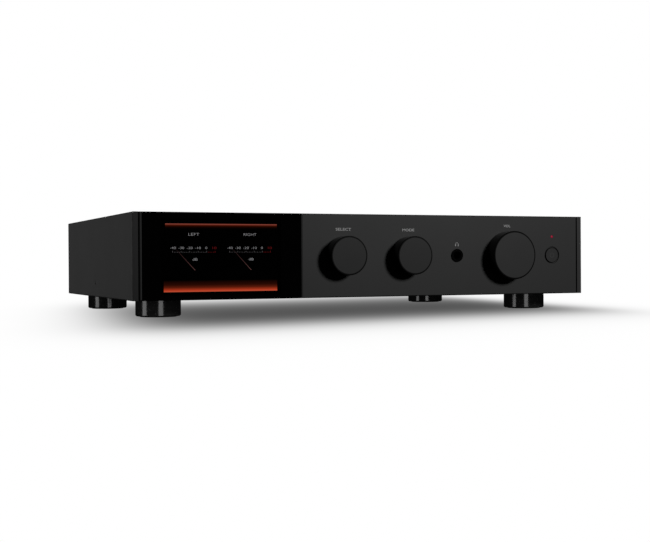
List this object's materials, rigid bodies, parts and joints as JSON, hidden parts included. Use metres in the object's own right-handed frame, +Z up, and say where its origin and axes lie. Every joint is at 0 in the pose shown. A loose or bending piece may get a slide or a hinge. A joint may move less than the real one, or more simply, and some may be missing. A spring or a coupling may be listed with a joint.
{
  "type": "integrated amplifier",
  "caption": "Full-width hi-fi amplifier with a meter display behind a glass window, turning and pushing knobs, a standby button, round feet and a rear panel of connectors.",
  "frame": {"origin": "middle of the bounding box in plan, at the height of the surface the feet stand on", "axes": "+X to the right of someone facing the fascia, +Y towards the rear panel, +Z up"},
  "size_m": [0.444, 0.33, 0.0898],
  "materials": {
    "fascia_black": "fine bead-blasted, black anodised",
    "case_black": "fine bead-blasted, black anodised",
    "knob_black": "turned, black anodised",
    "window_glass": "black backed glass, polished",
    "display_panel": "dark display with orange bars and two level scales",
    "foot_gloss": "polished black",
    "foot_rubber": "matt",
    "screw_black": "blackened",
    "zinc_steel": "zinc plated sheet",
    "panel_black": "fine textured black paint",
    "black_plastic": "moulded, matt",
    "lamp_red": "clear red light pipe",
    "circuit_board": "solder resist over glass fibre",
    "winding": "taped copper winding over a steel core",
    "capacitor_sleeve": "shrink sleeve",
    "heatsink_black": "extruded, black anodised",
    "gold": "gold plated, polished",
    "nickel": "nickel plated",
    "wire_sleeve": "flexible sleeve",
    "post_cap_plastic": "moulded over brass, coloured band"
  },
  "bodies": {
    "amplifier": {"fascia": "fascia_black", "side_panel_left": "case_black", "side_panel_right": "case_black", "top_cover": "case_black", "base_pan": "zinc_steel", "front_subframe": "zinc_steel", "rear_panel": "panel_black", "feet": "foot_gloss", "foot_pads": "foot_rubber", "case_screws": "screw_black", "display_window": "window_glass", "display_module": "display_panel", "headphone_jack": "black_plastic", "standby_led": "lamp_red", "button_guide": "black_plastic", "encoders_and_switch": "nickel", "control_board": "circuit_board", "toroidal_transformer": "winding", "transformer_clamp": "zinc_steel", "amplifier_board": "circuit_board", "reservoir_capacitors": "capacitor_sleeve", "heatsinks": "heatsink_black", "output_transistors": "black_plastic", "input_board": "circuit_board", "digital_board": "circuit_board", "wiring": "wire_sleeve", "rca_sockets": "black_plastic", "rca_barrels": "gold", "xlr_sockets": "black_plastic", "optical_sockets": "black_plastic", "digital_ports": "nickel", "trigger_jacks": "black_plastic", "mains_inlet": "black_plastic", "inlet_blades": "nickel", "switch_frame": "black_plastic", "post_bases": "black_plastic", "post_studs": "gold", "ground_stud": "gold"},
    "select_rotor": {"select_rotor": "zinc_steel"},
    "select_knob": {"select_knob": "knob_black"},
    "mode_rotor": {"mode_rotor": "zinc_steel"},
    "mode_knob": {"mode_knob": "knob_black"},
    "volume_knob": {"volume_knob": "knob_black"},
    "standby_button": {"standby_button": "knob_black"},
    "mains_rocker": {"mains_rocker": "black_plastic"},
    "fuse_drawer": {"fuse_drawer": "black_plastic"},
    "ground_washer": {"ground_washer": "gold"},
    "ground_nut": {"ground_nut": "gold"},
    "post_washer_1": {"post_washer_1": "gold"},
    "post_cap_1": {"post_cap_1": "post_cap_plastic"},
    "post_washer_2": {"post_washer_2": "gold"},
    "post_cap_2": {"post_cap_2": "post_cap_plastic"},
    "post_washer_3": {"post_washer_3": "gold"},
    "post_cap_3": {"post_cap_3": "post_cap_plastic"},
    "post_washer_4": {"post_washer_4": "gold"},
    "post_cap_4": {"post_cap_4": "post_cap_plastic"},
    "xlr_latch_1": {"xlr_latch_1": "nickel"},
    "optical_shutter_1": {"optical_shutter_1": "black_plastic"},
    "xlr_latch_2": {"xlr_latch_2": "nickel"},
    "optical_shutter_2": {"optical_shutter_2": "black_plastic"}
  },
  "joints": [
    {"name": "select_turn", "type": "hinge", "parent": "amplifier", "child": "select_rotor", "pos_m": [-0.0318, -0.133, 0.0525], "axis": [0, 1, 0], "continuous": true},
    {"name": "select_push", "type": "slide", "parent": "select_rotor", "child": "select_knob", "axis": [0, 1, 0], "range_m": [0, 0.0006], "stiffness_N_per_m": 3000, "springref_m": -0.0006},
    {"name": "mode_turn", "type": "hinge", "parent": "amplifier", "child": "mode_rotor", "pos_m": [0.0332, -0.133, 0.0525], "axis": [0, 1, 0], "continuous": true},
    {"name": "mode_push", "type": "slide", "parent": "mode_rotor", "child": "mode_knob", "axis": [0, 1, 0], "range_m": [0, 0.0006], "stiffness_N_per_m": 3000, "springref_m": -0.0006},
    {"name": "volume_turn", "type": "hinge", "parent": "amplifier", "child": "volume_knob", "pos_m": [0.1378, -0.133, 0.0525], "axis": [0, 1, 0], "continuous": true},
    {"name": "standby_press", "type": "slide", "parent": "amplifier", "child": "standby_button", "axis": [0, 1, 0], "range_m": [0, 0.0008], "stiffness_N_per_m": 2500, "springref_m": -0.0005},
    {"name": "mains_switch", "type": "hinge", "parent": "amplifier", "child": "mains_rocker", "pos_m": [-0.19, 0.1455, 0.0695], "axis": [0, 0, 1], "range_deg": [-16, 0]},
    {"name": "fuse_drawer_slide", "type": "slide", "parent": "amplifier", "child": "fuse_drawer", "axis": [0, 1, 0], "range_m": [0, 0.02]},
    {"name": "post_travel_1", "type": "slide", "parent": "amplifier", "child": "post_washer_1", "axis": [0, 1, 0], "range_m": [0, 0.005]},
    {"name": "post_turn_1", "type": "hinge", "parent": "post_washer_1", "child": "post_cap_1", "pos_m": [-0.152, 0.1575, 0.044], "axis": [0, 1, 0], "range_deg": [0, 1800]},
    {"name": "post_travel_2", "type": "slide", "parent": "amplifier", "child": "post_washer_2", "axis": [0, 1, 0], "range_m": [0, 0.005]},
    {"name": "post_turn_2", "type": "hinge", "parent": "post_washer_2", "child": "post_cap_2", "pos_m": [-0.13, 0.1575, 0.044], "axis": [0, 1, 0], "range_deg": [0, 1800]},
    {"name": "post_travel_3", "type": "slide", "parent": "amplifier", "child": "post_washer_3", "axis": [0, 1, 0], "range_m": [0, 0.005]},
    {"name": "post_turn_3", "type": "hinge", "parent": "post_washer_3", "child": "post_cap_3", "pos_m": [-0.108, 0.1575, 0.044], "axis": [0, 1, 0], "range_deg": [0, 1800]},
    {"name": "post_travel_4", "type": "slide", "parent": "amplifier", "child": "post_washer_4", "axis": [0, 1, 0], "range_m": [0, 0.005]},
    {"name": "post_turn_4", "type": "hinge", "parent": "post_washer_4", "child": "post_cap_4", "pos_m": [-0.086, 0.1575, 0.044], "axis": [0, 1, 0], "range_deg": [0, 1800]},
    {"name": "ground_travel", "type": "slide", "parent": "amplifier", "child": "ground_washer", "axis": [0, 1, 0], "range_m": [0, 0.0035]},
    {"name": "ground_turn", "type": "hinge", "parent": "ground_washer", "child": "ground_nut", "pos_m": [0.003, 0.1545, 0.03], "axis": [0, 1, 0], "range_deg": [0, 1800]},
    {"name": "shutter_swing_1", "type": "hinge", "parent": "amplifier", "child": "optical_shutter_1", "pos_m": [0.154, 0.1463, 0.0394], "axis": [-1, 0, 0], "range_deg": [0, 80], "stiffness_Nm_per_rad": 0.0005, "springref_deg": -11.46},
    {"name": "shutter_swing_2", "type": "hinge", "parent": "amplifier", "child": "optical_shutter_2", "pos_m": [0.17, 0.1463, 0.0394], "axis": [-1, 0, 0], "range_deg": [0, 80], "stiffness_Nm_per_rad": 0.0005, "springref_deg": -11.46},
    {"name": "xlr_latch_press_1", "type": "slide", "parent": "amplifier", "child": "xlr_latch_1", "axis": [0, -1, 0], "range_m": [0, 0.0015], "stiffness_N_per_m": 1500, "springref_m": -0.001},
    {"name": "xlr_latch_press_2", "type": "slide", "parent": "amplifier", "child": "xlr_latch_2", "axis": [0, -1, 0], "range_m": [0, 0.0015], "stiffness_N_per_m": 1500, "springref_m": -0.001}
  ],
  "couplings": [
    {"joint": "post_turn_1", "follows": "post_travel_1", "rad_per_m": 6283.2},
    {"joint": "post_turn_2", "follows": "post_travel_2", "rad_per_m": 6283.2},
    {"joint": "post_turn_3", "follows": "post_travel_3", "rad_per_m": 6283.2},
    {"joint": "post_turn_4", "follows": "post_travel_4", "rad_per_m": 6283.2},
    {"joint": "ground_turn", "follows": "ground_travel", "rad_per_m": 8976}
  ]
}
